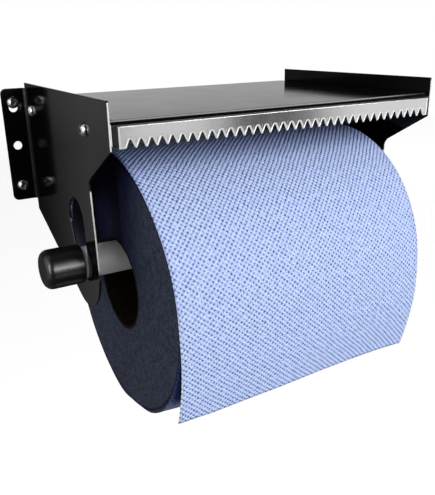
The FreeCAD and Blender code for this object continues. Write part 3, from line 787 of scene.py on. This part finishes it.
def make_sheet():
    """The outer layer, which lies loose over the roll's top, and the free tail, which hangs a
    little askew and curls back at its end."""
    columns = 61
    tail_rows = 34
    across = np.linspace(0, 1, columns)
    at_rest = ROLL_LEFT + ROLL_WIDTH * across
    path = sheet_path()
    steps = np.linalg.norm(np.diff(path, axis=0), axis=1)
    before = np.concatenate([[0], np.cumsum(steps)])
    wrap_length = float(before[-1])
    points = []
    lengths = []
    for number, (y, z) in enumerate(path):
        turn = math.atan2(z, -y)
        slipped = slip(turn)
        pressed = np.array([dent(turn, share) if y < 0 else 0.0 for share in across])
        points.append(np.stack([at_rest - slipped, ROLL_Y + y + pressed * math.cos(turn),
                                ROLL_Z + z - pressed * math.sin(turn)], 1))
        lengths.append(wrap_length - before[number])
    front = ROLL_Y + path[-1][0]
    dented = points[-1][:, 1] - front
    lower_edge = read_table(LOWER_EDGE, across)
    waves = TAIL_WAVE * np.sin(across * 2 * math.pi * WAVE_TURNS + WAVE_START)
    for number in range(1, tail_rows + 1):
        share = number / tail_rows
        along = TAIL_LENGTH * share
        back = TAIL_BEND * along * share / 2 + TAIL_TWIST * (across - 0.5) * share ** 1.3
        drop = along * (1 - (TAIL_BEND * share) ** 2 / 6)
        bow = TAIL_BOW * math.sin(math.pi * share) * (1 - across)
        points.append(np.stack([at_rest - slipped * (1 - share) + bow,
                                front + dented * max(0, 1 - share / DENT_FADE) + back
                                + waves * share ** 3,
                                ROLL_Z - drop + lower_edge * share ** 2], 1))
        lengths.append(-along)
    outer = np.array(points)
    rows = len(outer)
    normal = np.cross(np.gradient(outer, axis=1), np.gradient(outer, axis=0))
    normal /= np.linalg.norm(normal, axis=2, keepdims=True)
    if normal[rows // 2, columns // 2, 1] > 0:
        normal = -normal
    skin = outer + normal * SHEET_THICKNESS
    vertices = np.concatenate([skin.reshape(-1, 3), outer.reshape(-1, 3)])
    shift = rows * columns
    front_faces = grid_faces(rows, columns)
    faces = [tuple(reversed(face)) for face in front_faces]
    faces += [tuple(corner + shift for corner in face) for face in front_faces]
    rim_lines = [[first + column for column in range(columns)] for first in (0, shift - columns)]
    rim_lines += [[first + row * columns for row in range(rows)] for first in (0, columns - 1)]
    faces += [(here, after, after + shift, here + shift)
              for line in rim_lines for here, after in zip(line, line[1:])]
    piece = new_piece("hanging_sheet", vertices, faces, ["sheet_paper"], "paper_sheet",
                      "hanging_paper")
    mesh = piece.data
    for polygon in mesh.polygons[2 * len(front_faces):]:
        polygon.use_smooth = False
    set_paper_map(mesh, lambda vertex: (at_rest[vertex % columns], lengths[vertex % shift // columns]))
    turn_outwards(mesh)


def blade_outline():
    """The blade's toothed edge from left to right, as (x, z, middle). A bevel that starts at a
    point with a middle stops there: half way along its tooth, or at the blade's end."""
    flank_steps = 6
    arc_steps = 10
    land_steps = 4
    first = BLADE_LEFT + END_LAND
    pitch = (BLADE_RIGHT - BLADE_LEFT - 2 * END_LAND) / TOOTH_COUNT
    mouth = (pitch - TIP_WIDTH) / 2
    arc_height = TOOTH_DEPTH - GULLET_RADIUS
    flank = [(mouth + (GULLET_RADIUS - mouth) * step / flank_steps, arc_height * step / flank_steps)
             for step in range(flank_steps)]
    outline = [(BLADE_LEFT, BLADE_TIPS, BLADE_LEFT)]
    outline += [(BLADE_LEFT + (END_LAND - mouth) * step / land_steps, BLADE_TIPS, None)
                for step in range(1, land_steps)]
    for number in range(TOOTH_COUNT + 1):
        centre = first + number * pitch
        outline += [(centre - away, BLADE_TIPS + up, centre - pitch / 2) for away, up in flank]
        for angle in np.linspace(math.pi, 0, arc_steps + 1):
            outline.append((centre + GULLET_RADIUS * math.cos(angle),
                            BLADE_TIPS + arc_height + GULLET_RADIUS * math.sin(angle), None))
        outline += [(centre + away, BLADE_TIPS + up, centre + pitch / 2) for away, up in flank[::-1]]
    start = BLADE_RIGHT - END_LAND + mouth
    outline += [(start + (BLADE_RIGHT - start) * step / land_steps, BLADE_TIPS, None)
                for step in range(1, land_steps)]
    outline.append((BLADE_RIGHT, BLADE_TIPS, BLADE_RIGHT))
    return outline


def make_blade():
    """The toothed strip, ground thin round its gullets and along its top edge."""
    bevel_room = 0.96
    level_rise = 1.6
    front, back = BLADE_FRONT, BLADE_FRONT + BLADE_THICKNESS
    ground = front + BEVEL_DEPTH
    outline = blade_outline()
    points = np.array([(x, z) for x, z, middle in outline])
    tangent = np.gradient(points, axis=0)
    inward = np.stack([-tangent[:, 1], tangent[:, 0]], 1)
    inward /= np.linalg.norm(inward, axis=1, keepdims=True)
    reach = np.full(len(points), BEVEL_WIDTH)
    for number, (x, z, middle) in enumerate(outline):
        if middle is not None and abs(inward[number, 0]) > 1e-6:
            limit = (middle - x) / inward[number, 0]
            if limit >= 0:
                reach[number] = min(reach[number], limit * bevel_room)
    inner = points + inward * reach[:, None]
    inner[:, 0] = np.maximum.accumulate(np.clip(inner[:, 0], BLADE_LEFT, BLADE_RIGHT))
    level = BLADE_TIPS + TOOTH_DEPTH + BEVEL_WIDTH * level_rise
    rows = [
        [(x, back, z) for x, z in points],
        [(x, ground, z) for x, z in points],
        [(x, ground - BEVEL_DEPTH * reach[number] / BEVEL_WIDTH, z)
         for number, (x, z) in enumerate(inner)],
        [(x, front, level) for x, z in inner],
        [(x, front, BLADE_TOP - TOP_BEVEL_WIDTH) for x, z in inner],
        [(x, front + TOP_BEVEL_DEPTH, BLADE_TOP) for x, z in inner],
        [(x, back, BLADE_TOP) for x, z in inner],
    ]
    for row in rows[1:-1]:
        for end in (0, -1):
            row[end] = (row[end][0], ground, row[end][2])
    vertices = [spot for row in rows for spot in row]
    count = len(points)
    faces = grid_faces(len(rows), count)
    last = (len(rows) - 1) * count
    faces += [(last + number, last + number + 1, number + 1, number) for number in range(count - 1)]
    faces.append(tuple(row * count for row in range(len(rows))))
    faces.append(tuple(row * count + count - 1 for row in reversed(range(len(rows)))))
    piece = new_piece("toothed_blade", vertices, faces, ["stainless", "ground_rim"], "tear_blade",
                      "bracket", smooth=False)
    for polygon in piece.data.polygons[:(len(rows) - 1) * (count - 1)]:
        row, column = divmod(polygon.index, count - 1)
        if row == 1 or (row in (2, 3) and column in (0, count - 2)):
            polygon.material_index = 1
    turn_outwards(piece.data, weld=0.000001)


make_roll()
make_loose_turns()
make_sheet()
make_blade()


# Stage, lights and camera

def new_stage(name, mesh, material):
    """A part of the studio, which isn't part of the object."""
    mesh.materials.append(material)
    thing = bpy.data.objects.new(name, mesh)
    bpy.context.scene.collection.objects.link(thing)
    return thing


def light_paths(tree):
    """1 for rays that come from the camera, or by a reflection or through glass, and else 0."""
    path = tree.nodes.new("ShaderNodeLightPath")
    seen = math_node(tree, "MAXIMUM", path.outputs["Is Camera Ray"], path.outputs["Is Glossy Ray"])
    return math_node(tree, "MAXIMUM", seen, path.outputs["Is Transmission Ray"])


def make_world():
    """Soft light from all round, on a white background."""
    overhead_from = 0.7
    world = bpy.data.worlds.new("studio")
    bpy.context.scene.world = world
    world.use_nodes = True
    tree = world.node_tree
    heading = tree.nodes.new("ShaderNodeTexCoord").outputs["Generated"]
    upward = dot_product(tree, heading, (0, 0, 1))
    fill = spread(tree, upward, 0, overhead_from, LEVEL_LIGHT, OVERHEAD_LIGHT)
    strength = math_node(tree, "MAXIMUM", light_paths(tree), fill)
    background = tree.nodes["Background"]
    background.inputs["Color"].default_value = (1, 1, 1, 1)
    tree.links.new(strength, background.inputs["Strength"])


def make_floor():
    """A pale floor, white to the camera except where the object shades it."""
    material, tree, shader = new_material("floor", Base_Color=(0.5, 0.5, 0.5, 1), Roughness=0.9,
                                          Emission_Color=(1, 1, 1, 1))
    tree.links.new(math_node(tree, "MULTIPLY", light_paths(tree), 0.8),
                   shader.inputs["Emission Strength"])
    mesh = bpy.data.meshes.new("floor")
    corners = [(x * FLOOR_REACH, y * FLOOR_REACH, FLOOR_HEIGHT)
               for x, y in ((-1, -1), (1, -1), (1, 1), (-1, 1))]
    mesh.from_pydata(corners, [], [(0, 1, 2, 3)])
    floor = new_stage("floor", mesh, material)
    floor.visible_glossy = False


def make_tent():
    """The dark room that the glossy faces mirror, with its pale places. It only shows in
    mirrored rays. Its brightness goes by the heading, in degrees from the back to the right."""
    material = bpy.data.materials.new("tent")
    material.use_nodes = True
    tree = material.node_tree
    tree.nodes.remove(tree.nodes["Principled BSDF"])
    light = tree.nodes.new("ShaderNodeEmission")
    place = tree.nodes.new("ShaderNodeTexCoord")
    parts = tree.nodes.new("ShaderNodeSeparateXYZ")
    tree.links.new(place.outputs["Object"], parts.inputs["Vector"])
    x, y, z = (parts.outputs[axis] for axis in "XYZ")
    turn = spread(tree, math_node(tree, "ARCTAN2", x, y), -math.pi, math.pi, 0, 1)
    level = math_node(tree, "SQRT", math_node(tree, "ADD", math_node(tree, "MULTIPLY", x, x),
                                              math_node(tree, "MULTIPLY", y, y)))
    slope = math_node(tree, "DIVIDE", z, level)
    shade = None
    for low, high, stops in TENT:
        colours = [((angle + 180) / 360, (value, value, value)) for angle, value in stops]
        band = ramp(tree, turn, colours)
        shade = band if shade is None else blend(tree, spread(tree, slope, low, high, 0, 1), shade, band)
    tree.links.new(shade, light.inputs["Color"])
    tree.links.new(light.outputs["Emission"], tree.nodes["Material Output"].inputs["Surface"])
    mesh = bpy.data.meshes.new("tent")
    net = bmesh.new()
    bmesh.ops.create_uvsphere(net, u_segments=64, v_segments=32, radius=TENT_RADIUS)
    net.to_mesh(mesh)
    net.free()
    tent = new_stage("tent", mesh, material)
    tent.visible_camera = False
    tent.visible_diffuse = False
    tent.visible_transmission = False
    tent.visible_shadow = False


def make_lamp(name, place, target, width, height, power):
    """A soft lamp that the camera doesn't see."""
    data = bpy.data.lights.new(name, "AREA")
    data.shape = "RECTANGLE"
    data.size = width
    data.size_y = height
    data.energy = power
    lamp = bpy.data.objects.new(name, data)
    bpy.context.scene.collection.objects.link(lamp)
    lamp.location = place
    away = Vector(target) - Vector(place)
    lamp.rotation_euler = away.to_track_quat("-Z", "Y").to_euler()
    lamp.visible_camera = False


def make_camera():
    """The photograph's viewpoint, found from its own edges."""
    place = Vector(CAMERA_PLACE)
    forward = Vector((math.sin(CAMERA_YAW) * math.cos(CAMERA_PITCH),
                      math.cos(CAMERA_YAW) * math.cos(CAMERA_PITCH), -math.sin(CAMERA_PITCH)))
    level = Vector((math.cos(CAMERA_YAW), -math.sin(CAMERA_YAW), 0))
    upright = level.cross(forward)
    right = level * math.cos(CAMERA_ROLL) + upright * math.sin(CAMERA_ROLL)
    up = upright * math.cos(CAMERA_ROLL) - level * math.sin(CAMERA_ROLL)
    data = bpy.data.cameras.new("camera")
    data.sensor_fit = "VERTICAL"
    data.sensor_height = SENSOR_HEIGHT
    data.sensor_width = SENSOR_HEIGHT
    data.lens = SENSOR_HEIGHT * FOCAL_PIXELS / PHOTO_HEIGHT
    data.clip_start = 0.01
    camera = bpy.data.objects.new("camera", data)
    camera.matrix_world = Matrix((
        (right.x, up.x, -forward.x, place.x),
        (right.y, up.y, -forward.y, place.y),
        (right.z, up.z, -forward.z, place.z),
        (0, 0, 0, 1)))
    bpy.context.scene.collection.objects.link(camera)
    bpy.context.scene.camera = camera


bpy.context.scene.view_settings.view_transform = "Standard"
make_world()
make_floor()
make_tent()
for lamp in LAMPS:
    make_lamp(*lamp)
make_camera()
